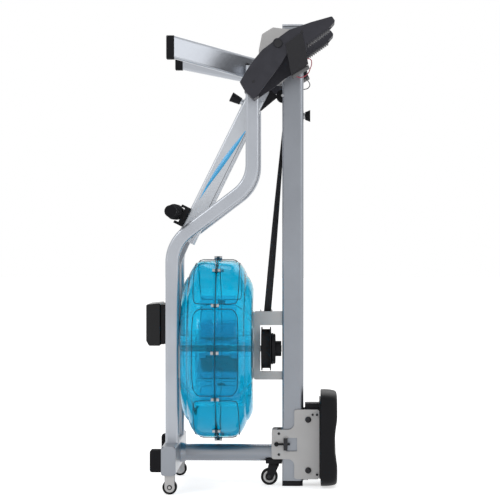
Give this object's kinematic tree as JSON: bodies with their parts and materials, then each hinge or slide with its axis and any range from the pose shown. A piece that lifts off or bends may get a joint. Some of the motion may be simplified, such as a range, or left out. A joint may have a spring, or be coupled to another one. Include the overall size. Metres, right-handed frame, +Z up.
{
  "type": "water rowing machine",
  "caption": "Upright-stored water rowing machine with sliding seat, round water tank, folding console mast, tilting foot plates and pull handle.",
  "frame": {"origin": "on the floor, below the centre of the machine's box as it stands stored", "axes": "+Z up along the rail, +X towards the side that is up in use, +Y away from the viewer"},
  "size_m": [0.5387, 0.5268, 1.3042],
  "materials": {
    "silver_frame": "satin metallic paint",
    "light_plate": "satin light gray paint",
    "steel": "zinc plated",
    "black_plastic": "fine texture",
    "gray_plastic": "fine texture",
    "black_rubber": "matte",
    "wheel_black": "smooth",
    "foam_grip": "soft foam",
    "webbing": "woven webbing",
    "seat_cover": "soft vinyl",
    "tank_blue": "clear tinted",
    "water_blue": "clear",
    "blue_rotor": "moulded",
    "dark_seal": "matte",
    "monitor_black": "semi gloss",
    "button_gray": "matte",
    "red_wire": "smooth",
    "black_wire": "smooth"
  },
  "bodies": {
    "root": {"rail": "silver_frame", "rail_caps": "black_plastic", "rail_fittings": "steel", "head_plates": "light_plate", "foot_axle": "steel", "front_leg_near": "silver_frame", "front_leg_far": "silver_frame", "floor_feet": "black_rubber", "frame_tube_near": "silver_frame", "frame_tube_far": "silver_frame", "base_bar": "silver_frame", "rear_upright": "silver_frame", "tank_shell_left": "tank_blue", "tank_shell_right": "tank_blue", "tank_gasket": "dark_seal", "tank_bolts": "steel", "water": "water_blue", "shaft_bearings": "blue_rotor", "tank_brackets": "light_plate", "strap_run": "webbing", "caster_forks": "light_plate", "swivel_plate": "black_plastic", "red_lead": "red_wire", "black_lead": "black_wire", "lead_connector": "black_plastic"},
    "mast": {"mast_yoke": "silver_frame", "mast_tube": "silver_frame", "strap_inner": "webbing", "handle_rest": "black_plastic", "mast_neck": "silver_frame"},
    "handle": {"handle_bar": "steel", "handle_grips": "foam_grip", "strap_end": "webbing"},
    "monitor": {"monitor_front": "monitor_black", "monitor_back": "black_plastic"},
    "button_1": {"monitor_button_1": "button_gray"},
    "button_2": {"monitor_button_2": "button_gray"},
    "mast_pin": {"mast_pin_knob": "black_plastic"},
    "rail_pin": {"rail_knob": "black_plastic"},
    "pedal_near": {"pedal_near": "gray_plastic", "foot_strap_near": "webbing"},
    "pedal_far": {"pedal_far": "gray_plastic", "foot_strap_far": "webbing"},
    "spool": {"strap_spool": "black_plastic", "tank_shaft": "steel", "impeller": "blue_rotor"},
    "pulley": {"top_pulley": "black_plastic"},
    "carriage": {"carriage_plates": "light_plate", "roller_axles": "steel", "seat_pan": "black_plastic", "seat_cushion": "seat_cover"},
    "roller_high": {"seat_roller_high": "wheel_black"},
    "roller_low": {"seat_roller_low": "wheel_black"},
    "under_high": {"under_rollers_high": "wheel_black"},
    "under_low": {"under_rollers_low": "wheel_black"},
    "seat_lock": {"seat_lock_knob": "steel"},
    "wheel_near": {"caster_wheel_near": "wheel_black"},
    "wheel_far": {"caster_wheel_far": "wheel_black"},
    "swivel": {"swivel_fork": "black_plastic"},
    "swivel_wheel": {"swivel_wheel": "wheel_black"}
  },
  "joints": [
    {"name": "mast_fold", "type": "hinge", "parent": "root", "child": "mast", "pos_m": [0.105, 0, 1.231], "axis": [0, 1, 0], "range_deg": [0, 215]},
    {"name": "handle_lift", "type": "slide", "parent": "mast", "child": "handle", "axis": [-0.8965, 0, 0.4431], "range_m": [0, 0.05]},
    {"name": "monitor_tilt", "type": "hinge", "parent": "mast", "child": "monitor", "pos_m": [-0.188, 0, 0.458], "axis": [0, 1, 0], "range_deg": [-10, 10]},
    {"name": "button_1_press", "type": "slide", "parent": "monitor", "child": "button_1", "axis": [1, 0, 0], "range_m": [0, 0.0015], "stiffness_N_per_m": 300},
    {"name": "button_2_press", "type": "slide", "parent": "monitor", "child": "button_2", "axis": [1, 0, 0], "range_m": [0, 0.0015], "stiffness_N_per_m": 300},
    {"name": "mast_pin_pull", "type": "slide", "parent": "mast", "child": "mast_pin", "axis": [-0.8965, 0, 0.4431], "range_m": [0, 0.008], "stiffness_N_per_m": 400},
    {"name": "rail_pin_pull", "type": "slide", "parent": "root", "child": "rail_pin", "axis": [1, 0, 0], "range_m": [0, 0.008], "stiffness_N_per_m": 400},
    {"name": "pedal_near_tilt", "type": "hinge", "parent": "root", "child": "pedal_near", "pos_m": [0.105, -0.2, 1.231], "axis": [0, 1, 0], "range_deg": [-15, 15]},
    {"name": "pedal_far_tilt", "type": "hinge", "parent": "root", "child": "pedal_far", "pos_m": [0.105, 0.2, 1.231], "axis": [0, 1, 0], "range_deg": [-15, 15]},
    {"name": "spool_spin", "type": "hinge", "parent": "root", "child": "spool", "pos_m": [0.068, 0, 0.387], "axis": [1, 0, 0], "continuous": true},
    {"name": "pulley_spin", "type": "hinge", "parent": "root", "child": "pulley", "pos_m": [0.115, 0, 1.103], "axis": [0, 1, 0], "continuous": true},
    {"name": "seat_slide", "type": "slide", "parent": "root", "child": "carriage", "axis": [0, 0, 1], "range_m": [0, 0.79]},
    {"name": "roller_high_spin", "type": "hinge", "parent": "carriage", "child": "roller_high", "pos_m": [0.1873, 0, 0.189], "axis": [0, 1, 0], "continuous": true},
    {"name": "roller_low_spin", "type": "hinge", "parent": "carriage", "child": "roller_low", "pos_m": [0.1873, 0, 0.0457], "axis": [0, 1, 0], "continuous": true},
    {"name": "under_high_spin", "type": "hinge", "parent": "carriage", "child": "under_high", "pos_m": [0.1047, 0, 0.149], "axis": [0, 1, 0], "continuous": true},
    {"name": "under_low_spin", "type": "hinge", "parent": "carriage", "child": "under_low", "pos_m": [0.1047, 0, 0.09], "axis": [0, 1, 0], "continuous": true},
    {"name": "seat_lock_pull", "type": "slide", "parent": "carriage", "child": "seat_lock", "axis": [-1, 0, 0], "range_m": [0, 0.008], "stiffness_N_per_m": 300},
    {"name": "wheel_near_spin", "type": "hinge", "parent": "root", "child": "wheel_near", "pos_m": [-0.191, -0.238, 0.02], "axis": [0, 1, 0], "continuous": true},
    {"name": "wheel_far_spin", "type": "hinge", "parent": "root", "child": "wheel_far", "pos_m": [-0.191, 0.238, 0.02], "axis": [0, 1, 0], "continuous": true},
    {"name": "caster_swivel", "type": "hinge", "parent": "root", "child": "swivel", "pos_m": [0.09, 0, 0.03], "axis": [0, 0, 1], "range_deg": [-100, 100]},
    {"name": "swivel_wheel_spin", "type": "hinge", "parent": "swivel", "child": "swivel_wheel", "pos_m": [0.077, 0, 0.024], "axis": [0, 1, 0], "continuous": true}
  ],
  "couplings": [
    {"joint": "pulley_spin", "follows": "spool_spin", "ratio": -5.8889},
    {"joint": "roller_high_spin", "follows": "seat_slide", "rad_per_m": -76.923},
    {"joint": "roller_low_spin", "follows": "seat_slide", "rad_per_m": -76.923},
    {"joint": "under_high_spin", "follows": "seat_slide", "rad_per_m": 111.11},
    {"joint": "under_low_spin", "follows": "seat_slide", "rad_per_m": 111.11}
  ]
}
